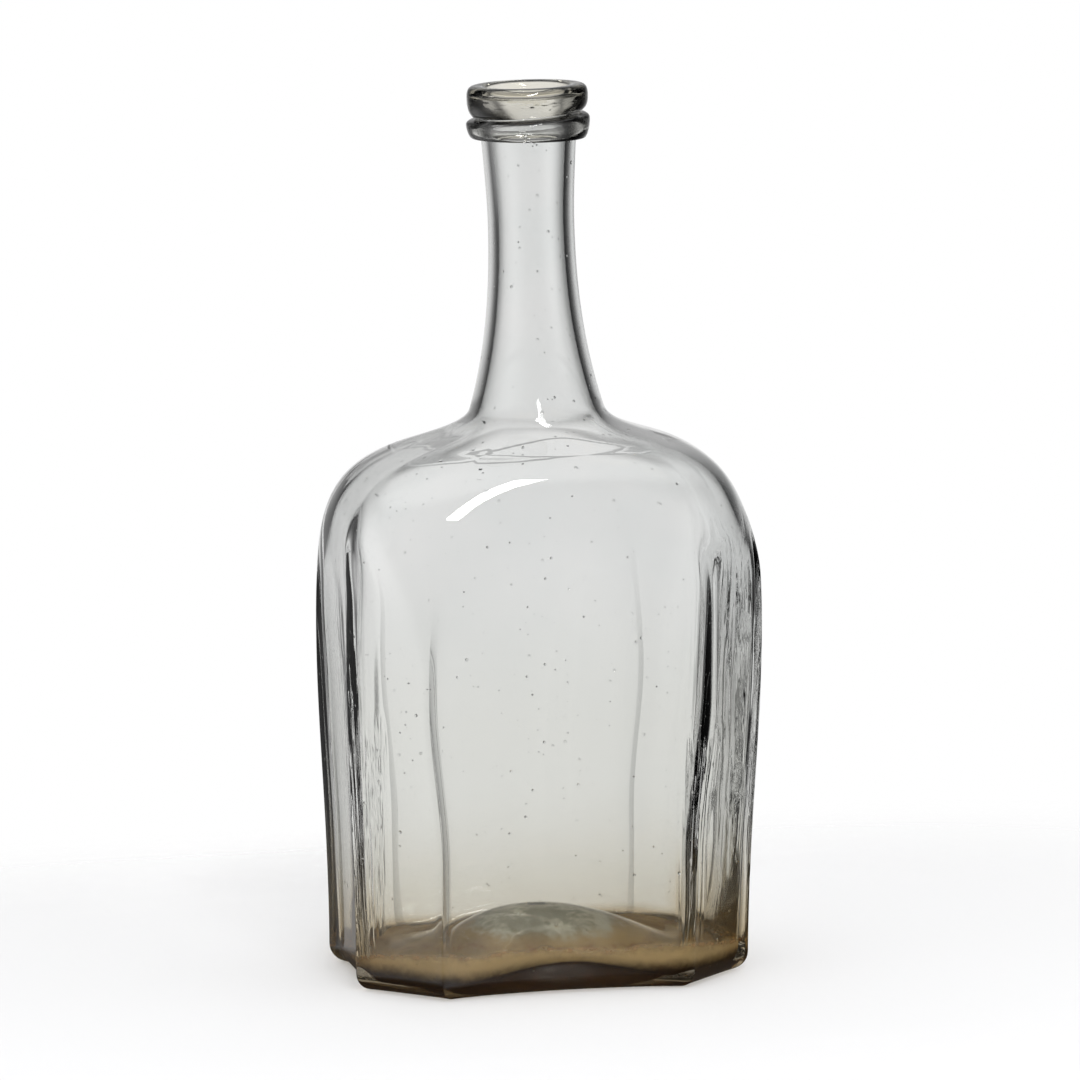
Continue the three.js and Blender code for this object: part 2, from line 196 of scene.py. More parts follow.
def meshFrom(name, rings, poles=None, sheet=False):
    # joins rings of points; a sheet stays open at both ends, and without poles the last ring meets the first
    count = rings.shape[1]
    points = rings.reshape(-1, 3)
    lastRing = len(rings) - (1 if sheet or poles is not None else 0)
    ring = np.arange(lastRing)[:, None] * count
    following = (np.arange(lastRing)[:, None] + 1) % len(rings) * count
    side = np.arange(count)[None, :]
    beside = (side + 1) % count
    quads = np.stack([ring + side, ring + beside, following + beside, following + side], -1).reshape(-1, 4)
    faces = quads.tolist()
    if poles is not None:
        first = len(points)
        points = np.concatenate([points, np.array(poles, float)])
        top = (len(rings) - 1) * count
        sides = np.arange(count)
        nextSides = (sides + 1) % count
        faces += np.stack([np.full(count, first), nextSides, sides], 1).tolist()
        faces += np.stack([top + sides, top + nextSides, np.full(count, first + 1)], 1).tolist()
    mesh = bpy.data.meshes.new(name)
    mesh.from_pydata((points * mm).tolist(), [], faces)
    mesh.validate()
    mesh.shade_smooth()
    piece = bpy.data.objects.new(name, mesh)
    bpy.context.scene.collection.objects.link(piece)
    return piece


# The blown wall: body, shoulder, neck and pushed-up base in one skin
body = {
    # heights, mm
    "neckEnd": 257.2, "neckWaist": 222, "neckFoot": 166, "shoulderTurn": 157, "hip": 102,
    # neck radii, how sharply it flares at either end, and its wall
    "neckWaistRadius": 12.5, "neckEndRadius": 14.8, "neckFootRadius": 19.6, "neckWall": 3.1,
    "flarePower": 1.4, "footPower": 2.4, "neckEndRounding": 0.6,
    # body half sizes and the runs of its broad and narrow faces
    "hipWidth": 61.94, "hipDepth": 40.48, "footWidth": 59, "footDepth": 39,
    "hipBroadRun": 41.7, "footBroadRun": 37.6, "hipEndRun": 22, "footEndRun": 19.5,
    "turnWidth": 37, "turnRun": (0.955, -0.296), "drift": 1.2, "driftStart": 112,
    "bodyWall": 2.6, "shoulderWall": 2.4, "heelWallGain": 1.2, "heelWallHeight": 26,
    # how far each end of a profile curve keeps its first direction
    "sideHandle": 0.3, "hipHandle": 0.72, "turnHandle": 0.78, "hollowHandle": 0.5, "neckFootHandle": 0.45,
    # sunken panels, and how close to the edges they sink
    "broadSink": 2.4, "endSink": 2.6, "cantSink": 0.4, "sinkStart": 136, "sinkFull": 78,
    "outerSinkPower": 10, "innerSinkPower": 3,
    # how much thicker the wall is behind the canted faces and the ends, at each edge
    "pillars": (0.8, 0.7, 0.7, 0.7, 0.5, 0.7, 0.5, 1.0), "endPillars": (0.7, 0.7, 0, 0, 0.2, 0.2, 0, 0),
    "pillarTop": 142, "pillarFull": 60,
    "runLow": 38, "runHigh": 88,                    # heights between which the faces change their runs
    # edges: tightest radius outside and inside, and the height to which each stays crisp
    "outerEdges": (3, 3, 20, 20, 3, 3, 3, 3), "innerEdges": (6, 6, 22, 22, 12, 22, 6, 6),
    "crisp": (118, 106, 84, 88, 112, 130, 92, 118), "edgeScale": 8.4, "roundSoftness": 0.5,
    # foot and kick
    "heelRadius": 5.5, "band": 3.6, "floorEdge": 3.4, "floorCrest": 18.4, "kickEdgePower": 6,
    "bellWidth": 52, "bellDepth": 44,               # half sizes of the oval bell of the kick
    "floorThickness": 4.8, "fillet": 4.5, "lift": 60, "kickMiddle": 0.06, "floorMiddle": 0.05,
    # lean
    "lean": 1.75, "leanStart": 138, "leanEnd": 165,
    # how many rows or columns each stretch of the skin has
    "columns": {"broad": 44, "end": 26, "cant": 22},
    "rows": {"kick": 20, "heel": 8, "side": 56, "shoulder": 36, "hollow": 14, "neck": 44, "cap": 4,
             "innerNeck": 36, "fillet": 8, "floor": 20},
}
rows = body["rows"]
leanAngle = math.radians(body["lean"])
leanRadius = (body["leanEnd"] - body["leanStart"]) / leanAngle


def neckRadius(height):
    rise = np.clip((height - body["neckWaist"]) / (body["neckEnd"] - body["neckWaist"]), 0, None)
    drop = np.clip((body["neckWaist"] - height) / (body["neckWaist"] - body["neckFoot"]), 0, None)
    flare = (body["neckEndRadius"] - body["neckWaistRadius"]) * rise ** body["flarePower"]
    spread = (body["neckFootRadius"] - body["neckWaistRadius"]) * drop ** body["footPower"]
    return body["neckWaistRadius"] + flare + spread


def bezier(points, count):
    t = np.linspace(0, 1, count)[:, None]
    p = [np.array(point, float) for point in points]
    place = (1 - t) ** 3 * p[0] + 3 * (1 - t) ** 2 * t * p[1] + 3 * (1 - t) * t ** 2 * p[2] + t ** 3 * p[3]
    run = 3 * (1 - t) ** 2 * (p[1] - p[0]) + 6 * (1 - t) * t * (p[2] - p[1]) + 3 * t ** 2 * (p[3] - p[2])
    run /= np.linalg.norm(run, axis=1)[:, None]
    return place, np.stack([-run[:, 1], run[:, 0]], 1)


def bodyProfile():
    # half width against height from the heel to the foot of the neck, with inward normals
    neckDrop = body["neckWaist"] - body["neckFoot"]
    slope = body["footPower"] * (body["neckFootRadius"] - body["neckWaistRadius"]) / neckDrop
    turnRun = np.array(body["turnRun"])
    neckFoot = np.array((body["neckFootRadius"], body["neckFoot"]))
    turn = np.array((body["turnWidth"], body["shoulderTurn"]))
    hip = np.array((body["hipWidth"], body["hip"]))
    heel = np.array((body["footWidth"], body["heelRadius"]))
    sideReach = body["sideHandle"] * (body["hip"] - body["heelRadius"])
    hipReach = body["hipHandle"] * (body["shoulderTurn"] - body["hip"])
    turnReach = body["turnHandle"] * (body["hipWidth"] - body["turnWidth"])
    hollowReach = body["hollowHandle"] * (body["turnWidth"] - body["neckFootRadius"])
    footReach = body["neckFootHandle"] * (body["neckFoot"] - body["shoulderTurn"])
    side = bezier([heel, heel + (0, sideReach), hip - (0, sideReach), hip], rows["side"])
    full = bezier([hip, hip + (0, hipReach), turn + turnRun * turnReach, turn], rows["shoulder"] + 1)
    hollow = bezier(
        [turn, turn - turnRun * hollowReach, neckFoot + (slope * footReach, -footReach), neckFoot],
        rows["hollow"] + 1,
    )
    places = np.concatenate([side[0], full[0][1:], hollow[0][1:]])
    inward = np.concatenate([side[1], full[1][1:], hollow[1][1:]])
    return places[:, 0], places[:, 1], inward


def driftAt(height):
    rise = np.clip((height - body["driftStart"]) / (body["neckFoot"] - body["driftStart"]), 0, 1)
    return body["drift"] * np.sin(np.pi * rise) ** 2


def levelAt(profileWidth, height):
    # the sizes of one or many levels; every value has one row for each level
    profileWidth, height = np.atleast_1d(profileWidth).astype(float), np.atleast_1d(height).astype(float)
    width = profileWidth + driftAt(height)
    low = (profileWidth - body["footWidth"]) / (body["hipWidth"] - body["footWidth"])
    high = (profileWidth - body["neckFootRadius"]) / (body["hipWidth"] - body["neckFootRadius"])
    depth = np.where(
        height <= body["hip"],
        mix(body["footDepth"], body["hipDepth"], low),
        mix(body["neckFootRadius"], body["hipDepth"], high),
    )
    rise = ease(height, body["runLow"], body["runHigh"])
    shrink = np.where(height > body["hip"], width / body["hipWidth"], 1)
    broadRun = mix(body["footBroadRun"], body["hipBroadRun"], rise) * shrink
    fullDepth = mix(body["footDepth"], body["hipDepth"], rise)
    endRun = mix(body["footEndRun"], body["hipEndRun"], rise) * depth / fullDepth
    cant = np.stack([depth - endRun, width - broadRun])
    cant /= np.linalg.norm(cant, axis=0)
    reach = cant[0] * width + cant[1] * endRun
    return {"width": width, "depth": depth, "broadRun": broadRun, "endRun": endRun,
            "height": height, "cant": cant, "reach": reach}


panels = ("end", "cant", "broad", "cant") * 2
columns = [body["columns"][kind] for kind in panels]
panelIndex = np.repeat(np.arange(len(panels)), columns)
panelPlace = np.concatenate([(1 - np.cos(np.pi * np.arange(count) / count)) / 2 for count in columns])
panelSink = np.array([body[kind + "Sink"] for kind in panels])[panelIndex]
around = len(panelIndex)


def stationAngles(level):
    # where the columns stand, between the angles of the edges
    end = np.arctan2(level["endRun"], level["width"])
    broad = np.arctan2(level["depth"], level["broadRun"])
    half = np.pi
    angles = np.stack([-end, end, broad, half - broad, half - end, half + end, half + broad,
                       2 * half - broad, 2 * half - end], 1)
    return mix(angles[:, panelIndex], angles[:, panelIndex + 1], panelPlace[None, :])


def alongEdges(name):
    # one value for each edge, eased across the panels between them
    values = np.array(body[name], float)
    return mix(values[panelIndex], values[(panelIndex + 1) % 8], ease(panelPlace, 0, 1))


def softnessAt(level, edges):
    # how rounded the outline is: a circle at the foot of the neck, crisp edges lower down
    tightest = alongEdges(edges) / (body["edgeScale"] * body["hipWidth"])
    fall = body["neckFoot"] - level["height"][:, None]
    rise = np.clip(fall / (body["neckFoot"] - alongEdges("crisp")[None, :]), 0, 1)
    return tightest + (body["roundSoftness"] - tightest) * (1 - rise) ** 2


def wallOutline(level, wall, skin):
    # angles and radii of levels whose planes are drawn in by the wall; the inner skin has pillars
    angle = stationAngles(level)
    wall = np.atleast_1d(wall)[:, None]
    along, across = np.abs(np.cos(angle)), np.abs(np.sin(angle))
    column = {key: level[key][:, None] for key in ("width", "depth", "reach", "height")}
    grown = (skin == "inner") * (1 - ease(column["height"], body["pillarFull"], body["pillarTop"]))
    end = along / (column["width"] - wall - alongEdges("endPillars") * grown)
    broad = across / (column["depth"] - wall)
    cantWall = wall + alongEdges("pillars") * grown
    cantSide = along * level["cant"][0][:, None] + across * level["cant"][1][:, None]
    corner = cantSide / (column["reach"] - cantWall)
    share = ease(body["neckFoot"] - column["height"], 0, body["neckFoot"] - body["hip"])
    nearest = np.maximum(np.maximum(end, broad), corner)
    softness = softnessAt(level, skin + "Edges")
    power = 1 / softness
    total = (end / nearest) ** power + (broad / nearest) ** power + share * (corner / nearest) ** power
    radius = 1 / (nearest * total ** softness)
    sinkShare = 1 - ease(column["height"], body["sinkFull"], body["sinkStart"])
    bow = 1 - np.abs(2 * panelPlace - 1) ** body[skin + "SinkPower"]
    return angle, radius - panelSink * bow * sinkShare


def leaned(x, y, height):
    run = np.clip(height, body["leanStart"], body["leanEnd"]) - body["leanStart"]
    bend = run / leanRadius
    beyond = np.clip(height - body["leanEnd"], 0, None)
    centreX = -leanRadius * (1 - np.cos(bend)) - beyond * math.sin(leanAngle) - driftAt(height)
    straight = np.minimum(height, body["leanStart"])
    centreZ = straight + leanRadius * np.sin(bend) + beyond * math.cos(leanAngle)
    return np.stack([centreX + x * np.cos(bend), y * np.ones_like(x), centreZ + x * np.sin(bend)], -1)


def ringsAt(angle, radius, height):
    height = np.broadcast_to(height, radius.shape)
    return leaned(radius * np.cos(angle), radius * np.sin(angle), height)


def floorHeight(angle, reach):
    away = reach * np.hypot(np.cos(angle) / body["bellWidth"], np.sin(angle) / body["bellDepth"])
    return mix(body["floorEdge"], body["floorCrest"], (1 + np.cos(np.pi * np.minimum(away, 1))) / 2)


def kickHeight(angle, reach, bandReach):
    share = np.clip(reach / bandReach, 0, 1)
    roof = np.maximum(0, floorHeight(angle, reach) - body["floorThickness"])
    return roof * (1 - share ** body["kickEdgePower"])


def wallAt(height):
    heelShare = 1 - ease(height, 0, body["heelWallHeight"])
    neckShare = ease(height, body["shoulderTurn"], 2 * body["neckFoot"] - body["shoulderTurn"])
    shoulderShare = ease(height, body["hip"], body["shoulderTurn"])
    wall = mix(mix(body["bodyWall"], body["shoulderWall"], shoulderShare), body["neckWall"], neckShare)
    return wall + body["heelWallGain"] * heelShare


def quarter(count, last=False):
    # angles of a quarter turn, one for each row, without its first angle or without its last
    turned = np.linspace(0, 1, count + 1)
    return (turned[:-1, None] if last else turned[1:, None]) * math.pi / 2


def neckRings():
    # up the outside of the neck, over its rounded end and down the bore
    angle = stationAngles(levelAt(body["neckFootRadius"], body["neckFoot"]))
    full = np.ones((1, around))
    cap, end, foot = body["neckEndRounding"], body["neckEnd"], body["neckFoot"]
    upward = np.linspace(foot, end - cap, rows["neck"] + 1)[1:, None]
    outerNeck = ringsAt(angle, neckRadius(upward) * full, upward)
    outside = neckRadius(end)
    turned = quarter(rows["cap"])
    capOut = ringsAt(angle, (outside - cap * (1 - np.cos(turned))) * full, end - cap * (1 - np.sin(turned)))
    inside = outside - body["neckWall"]
    turned = turned[::-1]
    capIn = ringsAt(angle, (inside + cap * (1 - np.cos(turned))) * full, end - cap * (1 - np.sin(turned)))
    downward = np.linspace(end - cap, foot, rows["innerNeck"] + 1)[:-1, None]
    innerNeck = ringsAt(angle, (neckRadius(downward) - body["neckWall"]) * full, downward)
    return [outerNeck, capOut], [capIn, innerNeck]


def outerRings(widths, heights):
    # from the middle of the kick over the band and heel, and up the side
    foot = levelAt(body["footWidth"], body["heelRadius"])
    angle, radius = wallOutline(foot, 0, "outer")
    heelRadius = body["heelRadius"]
    bandRadius = radius - heelRadius - body["band"]
    shares = np.linspace(body["kickMiddle"], 1, rows["kick"])[:, None]
    kick = ringsAt(angle, bandRadius * shares, kickHeight(angle, bandRadius * shares, bandRadius))
    turned = quarter(rows["heel"], last=True)
    heel = ringsAt(angle, radius - heelRadius * (1 - np.sin(turned)), heelRadius * (1 - np.cos(turned)))
    angle, radius = wallOutline(levelAt(widths, heights), 0, "outer")
    return [kick, heel, ringsAt(angle, radius, heights[:, None])]


def innerRings(widths, heights, inward):
    # down the side, round the fillet and over the floor
    wall = wallAt(heights)
    fillet = body["fillet"]
    angle, radius = wallOutline(levelAt(widths, heights), -wall * inward[:, 0], "inner")
    height = (heights + wall * inward[:, 1])[:, None]
    fade = np.clip(1 - (height - body["heelRadius"]) / body["lift"], 0, 1) ** 2
    seat = floorHeight(angle, radius - fillet) + fillet - body["heelRadius"]
    side = ringsAt(angle, radius, height + seat * fade)[::-1]

    foot = levelAt(body["footWidth"], body["heelRadius"])
    angle, radius = wallOutline(foot, wallAt(body["heelRadius"]), "inner")
    turned = quarter(rows["fillet"])
    low = floorHeight(angle, radius - fillet) + fillet * (1 - np.sin(turned))
    turn = ringsAt(angle, radius - fillet * (1 - np.cos(turned)), low)
    shares = np.linspace(1, body["floorMiddle"], rows["floor"] + 1)[1:, None]
    reach = (radius - fillet) * shares
    return [side, turn, ringsAt(angle, reach, floorHeight(angle, reach))]


profile = bodyProfile()
neckOut, neckIn = neckRings()
outerGrid = np.concatenate(outerRings(*profile[:2]) + neckOut)
innerGrid = np.concatenate(neckIn + innerRings(*profile))
poles = [(0, 0, body["floorCrest"] - body["floorThickness"]), (0, 0, body["floorCrest"])]
glassBody = meshFrom("blown_glass_body", np.concatenate([outerGrid, innerGrid]), poles)
print("blown wall:", len(glassBody.data.polygons), "faces")


# The dried deposit: a film that clings to the inner face, over the floor and up the lower wall
depositShape = {"sink": 0.06, "top": 58}


def depositGrid():
    # the inner skin below a height, moved a little into the glass
    low = innerGrid[innerGrid[:, :, 2].mean(1) < depositShape["top"]]
    along = np.gradient(low, axis=0)
    aside = np.roll(low, -1, 1) - np.roll(low, 1, 1)
    inward = np.cross(aside, along)
    inward /= np.linalg.norm(inward, axis=2)[:, :, None]
    return low - inward * depositShape["sink"]


deposit = meshFrom("dried_deposit_and_painted_shading", depositGrid()[::-1], sheet=True)
print("deposit made")


# The two trails at the mouth
trails = {
    "mouth": 259.99, "collarRadius": 17.5, "collarHeight": 8.4, "collarSlant": 0.73, "skirtInset": 2.4,
    "lipSetIn": 0.3, "rollDepth": 1.45, "rollEnd": 0.3,     # the roll ends this far down inside the bore
    "ringRadius": 17.9, "ringHeight": 6.7, "ringSlant": -0.35, "ringWidest": 0.72, "ringFootRadius": 16.2,
    "ringStart": -0.92,
    "collarFullness": 2.2, "rollFullness": 3.0, "ringFullness": 2.2, "ringSkirtFullness": 1.7,
    "clearance": 0.3, "sink": 0.25,
    "rows": {"skirt": 14, "roll": 19, "lip": 12, "ringSkirt": 16, "ringTop": 15},
}
trailAngle = stationAngles(levelAt(body["neckFootRadius"], body["neckFoot"]))[0]
collarBase = trails["mouth"] - trails["collarHeight"]
collarFoot = collarBase + trails["collarSlant"] * np.cos(trailAngle)
ringTop = collarFoot - trails["clearance"]
ringBase = collarBase - trails["clearance"] - trails["ringHeight"]
ringFoot = ringBase + trails["ringSlant"] * np.cos(trailAngle)


def bulge(share, fullness):
    # how far out and up a rounded profile is, a share of a quarter turn along it
    turned = share * math.pi / 2
    out = abs(math.cos(turned)) ** (2 / fullness)
    up = math.copysign(abs(math.sin(turned)) ** (2 / fullness), share)
    return out, up


def trailRing(radius, height):
    one = np.ones_like(trailAngle)
    return leaned(radius * np.cos(trailAngle) * one, radius * np.sin(trailAngle) * one, height * one)


def collarRings():
    widest, counts = trails["collarRadius"], trails["rows"]
    lip = float(neckRadius(body["neckEnd"])) - body["neckWall"] - trails["lipSetIn"]
    middle, reach = (widest + lip) / 2, (widest - lip) / 2
    halfHeight = (trails["mouth"] - body["neckEnd"] - trails["clearance"]) * trails["rollDepth"]
    roll = trails["mouth"] - halfHeight
    rings = []
    for share in np.linspace(-1, 0, counts["skirt"] + 1)[:-1]:
        out, up = bulge(share, trails["collarFullness"])
        rings.append(trailRing(mix(widest - trails["skirtInset"], widest, out), mix(roll, collarFoot, -up)))
    for share in np.linspace(0, 1, counts["roll"]):
        out, up = bulge(share, trails["rollFullness"])
        rings.append(trailRing(middle + reach * out, roll + halfHeight * up))
    for share in np.linspace(1, trails["rollEnd"], counts["lip"])[1:]:
        out, up = bulge(share, trails["rollFullness"])
        rings.append(trailRing(middle - reach * out, roll + halfHeight * up))
    seat = body["neckEnd"] - trails["sink"]
    rings.append(trailRing(lip, seat))
    rings.append(trailRing(neckRadius(body["neckEnd"]) - trails["sink"], seat))
    rings.append(trailRing(neckRadius(collarFoot) - trails["sink"], collarFoot))
    return np.array(rings)


def stringRings():
    # widest near its top, drawn in below to a sharp lower edge
    outside, counts = trails["ringRadius"], trails["rows"]
    rings = [trailRing(neckRadius(ringFoot) - trails["sink"], ringFoot)]
    widest = mix(ringFoot, ringTop, trails["ringWidest"])
    for share in np.linspace(trails["ringStart"], 0, counts["ringSkirt"]):
        out, up = bulge(share, trails["ringSkirtFullness"])
        rings.append(trailRing(mix(trails["ringFootRadius"], outside, out), mix(widest, ringFoot, -up)))
    for share in np.linspace(0, 1, counts["ringTop"] + 1)[1:]:
        out, up = bulge(share, trails["ringFullness"])
        height = mix(widest, ringTop, up)
        rings.append(trailRing(mix(neckRadius(height) - trails["sink"], outside, out), height))
    return np.array(rings)


collar = meshFrom("rolled_lip_collar", collarRings())
stringRing = meshFrom("string_ring_trail", stringRings())
print("trails made")


# The scar under the kick, a lobed patch with a broken underside
scarShape = {
    "radius": 13, "thickness": 2.6, "offset": -3, "sink": 0.3, "leastDrop": 0.5, "middle": 0.06, "rim": 0.99,
    "lobes": ((0.05, 3, 1), (0.03, 7, 0)),              # share of the radius, how many, turn
    "breaks": ((0.35, 5, 4), (0.2, 11, -9)),            # depth, how many, twist towards the edge
    "hollow": 0.55, "hollowMiddle": 0.45, "edgePower": 6, "breakPower": 4,
    "sides": 96, "rings": 22, "roofRings": (1, 0.7, 0.35),
}


def scarRings():
    angle = np.linspace(0, 2 * np.pi, scarShape["sides"], endpoint=False)
    lobes = sum(size * np.sin(count * angle + turn) for size, count, turn in scarShape["lobes"])
    edge = scarShape["radius"] * (1 + lobes)
    bandReach = body["footDepth"] - body["heelRadius"] - body["band"]

    def under(share, drop):
        x = scarShape["offset"] + edge * share * np.cos(angle)
        y = edge * share * np.sin(angle)
        roof = kickHeight(np.arctan2(y, x), np.hypot(x, y), bandReach)
        return np.stack([x, y, roof + scarShape["sink"] - drop], -1)

    rings = []
    for share in np.linspace(scarShape["middle"], scarShape["rim"], scarShape["rings"]):
        ridge = 1 - scarShape["hollow"] * (1 - share) ** 2
        broken = sum(
            size * np.sin(count * angle + twist * share) for size, count, twist in scarShape["breaks"]
        )
        drop = scarShape["thickness"] * ridge * math.sqrt(1 - share ** scarShape["edgePower"])
        drop = drop + broken * share * (1 - share ** scarShape["breakPower"])
        rings.append(under(share, np.maximum(drop, scarShape["leastDrop"])))
    rings += [under(share, 0) for share in scarShape["roofRings"]]
    return np.array(rings), [under(0, scarShape["thickness"] * scarShape["hollowMiddle"])[0], under(0, 0)[0]]


scar = meshFrom("pontil_scar_glass", *scarRings())
print("scar made")


# Glass: the lamps pass through it in part, so that it casts a light shadow
glass = {
    "ior": 1.5, "shadow": (0.74, 0.74, 0.74, 1),
    "cloudEdges": (0.35, 0.65),             # where a noise turns from the first tint to the second
    "rippleSquash": (1, 1, 3), "rippleFineness": 2.2,       # against the grain of the tint
}


def glassSurface(nodes, colour, roughness, normal):
    values = {"Base Color": colour, "Transmission Weight": 1.0, "IOR": glass["ior"],
              "Roughness": roughness, "Normal": normal}
    surface = nodes.node("ShaderNodeBsdfPrincipled", None, values)
    nodes.finish(nodes.either(nodes.ray("Shadow"), surface, nodes.plain("Transparent", glass["shadow"])))


trailGlass = {
    # two tints, how fine the grain is, and how deep the ripple, m
    "trailed_glass": {
        "colours": ((0.96, 0.935, 0.87, 1), (0.92, 0.885, 0.79, 1)), "roughness": 0.0,
        "grain": 60, "depth": 0.00007,
    },
    "trailed_glass_grey": {
        "colours": ((0.875, 0.875, 0.86, 1), (0.825, 0.82, 0.8, 1)), "roughness": 0.0,
        "grain": 90, "depth": 0.00005,
    },
    "broken_glass": {
        "colours": ((0.82, 0.83, 0.8, 1), (0.7, 0.7, 0.66, 1)), "roughness": 0.35,
        "grain": 500, "depth": 0.0004,
    },
}


def thickGlass(name):
    # thick glass with a mottled tint and a rippled skin
    look = trailGlass[name]
    material, nodes = newMaterial(name)
    place = nodes.node("ShaderNodeTexCoord", out="Object")
    mottle = nodes.noise(place, look["grain"], detail=3, roughness=0.6)
    colour = nodes.blend(nodes.smooth(mottle, *glass["cloudEdges"]), *look["colours"])
    squashed = nodes.vector("MULTIPLY", place, glass["rippleSquash"])
    ripple = nodes.noise(squashed, look["grain"] * glass["rippleFineness"], detail=2, roughness=0.5)
    relief = {"Strength": 1, "Distance": look["depth"], "Height": ripple}
    glassSurface(nodes, colour, look["roughness"], nodes.node("ShaderNodeBump", None, relief))
    return material


blownGlass = {
    "tints": ((0.94, 0.95, 0.945, 1), (0.965, 0.967, 0.962, 1)), "cloud": 30,
    # where the tint turns warm, the feet of both ends turn brown, and the heel more so
    "warm": (0.925, 0.928, 0.905, 1), "warmHeights": (0.13, 0.06),
    "endBrown": (0.78, 0.7, 0.56, 1), "endHeights": (0.034, 0.006), "endReach": (0.045, 0.056),
    "heelBrown": (0.6, 0.5, 0.35, 1), "heelBrownHeights": (0.0095, 0.003),
    "wornHeights": (0.0012, 0.0002), "wornEdges": (-0.1, 0.1), "worn": 0.3,     # the foot band is scuffed
    # the relief: how far each grain is stretched, how fine it is and how deep, m
    "wave": {"stretch": 0.4, "scale": 45, "detail": 2, "rough": 0.4, "depth": 0.00012},
    "streak": {"stretch": 0.05, "scale": 260, "detail": 2, "rough": 0.5, "depth": 0.0003},
    "swirl": {"stretch": 0.16, "scale": 110, "detail": 4, "rough": 0.62, "depth": 0.0003},
    "wrinkle": {"stretch": 0.14, "scale": 190, "detail": 1.5, "rough": 0.5, "depth": 0.003},
    "line": {"stretch": 0.02, "scale": 480, "detail": 2, "rough": 0.5, "depth": 0.0008},
    # where each grain lies, from none to full
    "leftEnd": (-0.053, -0.057), "leftHeights": (0.12, 0.09),
    "rightEnd": (0.05, 0.054), "rightHeights": (0.145, 0.125), "rightStreaks": 0.5,
    "wrinkleEnd": (0.053, 0.0555), "wrinkleTop": (0.12, 0.1), "wrinkleFoot": (0.018, 0.03),
    "rightPillar": ((0.031, 0.035), (-0.03, -0.034), (0.078, 0.068)),
    "leftPillar": ((-0.0495, -0.0525), (-0.004, -0.01), (0.086, 0.07)),
    # tiny round pits: share of a cell that the least and the largest take, and how rare the large are
    "seedScale": 300, "seedLeast": 0.03, "seedMore": 0.16, "seedRarity": 5,
    "seedEdge": (1, 0.2), "seedDepth": 0.0002,
    # the rough seam down the left back edge
    "seamPlace": -0.043, "seamWidth": 0.0022, "seamBack": (0.01, 0.02), "seamHeights": (0.095, 0.075),
    "seamGrain": 900, "seamDepth": 0.0022,
    # the back of the shoulder thickens above a line that bows and rises a little to the right
    "creaseHeight": 0.149, "creaseRise": 0.03, "creaseBow": 2.8, "creaseSlope": 0.16, "creaseReach": 0.012,
    "creaseRidge": 0.0003, "creaseWidth": 0.0006, "creaseBack": (0, 0.024),
}


def sideStreaks(nodes, place, x, y, z):
    # drawn-down streaks on the left end, swirls and deep wrinkles on the right one, lines in the pillars
    look = blownGlass
    streak, swirl, wrinkle, line = (
        nodes.drawn(place, look[name]) for name in ("streak", "swirl", "wrinkle", "line")
    )
    left = nodes.smooth(x, *look["leftEnd"]) * nodes.smooth(z, *look["leftHeights"])
    right = nodes.smooth(x, *look["rightEnd"]) * nodes.smooth(z, *look["rightHeights"])
    low = nodes.smooth(z, *look["wrinkleTop"]) * nodes.smooth(z, *look["wrinkleFoot"])
    wrinkled = nodes.smooth(x, *look["wrinkleEnd"]) * low
    first, second = (
        nodes.smooth(x, *ends) * nodes.smooth(y, *sides) * nodes.smooth(z, *heights)
        for ends, sides, heights in (look["rightPillar"], look["leftPillar"])
    )
    fine = streak * (left + right * look["rightStreaks"]) + swirl * right
    return fine + wrinkle * wrinkled + line * first.math("MAXIMUM", second)


def backShoulder(nodes, x, y, z):
    # a soft rise above the line with a fine ridge along it, on the back half only
    look = blownGlass
    above = z - look["creaseHeight"] - x * look["creaseRise"] - x * x * look["creaseBow"]
    share = (above / look["creaseReach"]).math("MAXIMUM", 0).math("MINIMUM", 1)
    rise = share * (1 - share * 0.5) * look["creaseReach"] * look["creaseSlope"]
    ridge = nodes.smooth(above.math("ABSOLUTE"), look["creaseWidth"], 0) * look["creaseRidge"]
    return (rise + ridge) * nodes.smooth(y, *look["creaseBack"])


def seeds(nodes, place):
    look = blownGlass
    grid = {"Vector": place, "Scale": look["seedScale"]}
    away = nodes.node("ShaderNodeTexVoronoi", None, grid)
    chance = nodes.parts(nodes.node("ShaderNodeTexVoronoi", None, grid, "Color"))[0]
    size = chance ** look["seedRarity"] * look["seedMore"] + look["seedLeast"]
    return nodes.smooth(away / size, *look["seedEdge"]) * look["seedDepth"]


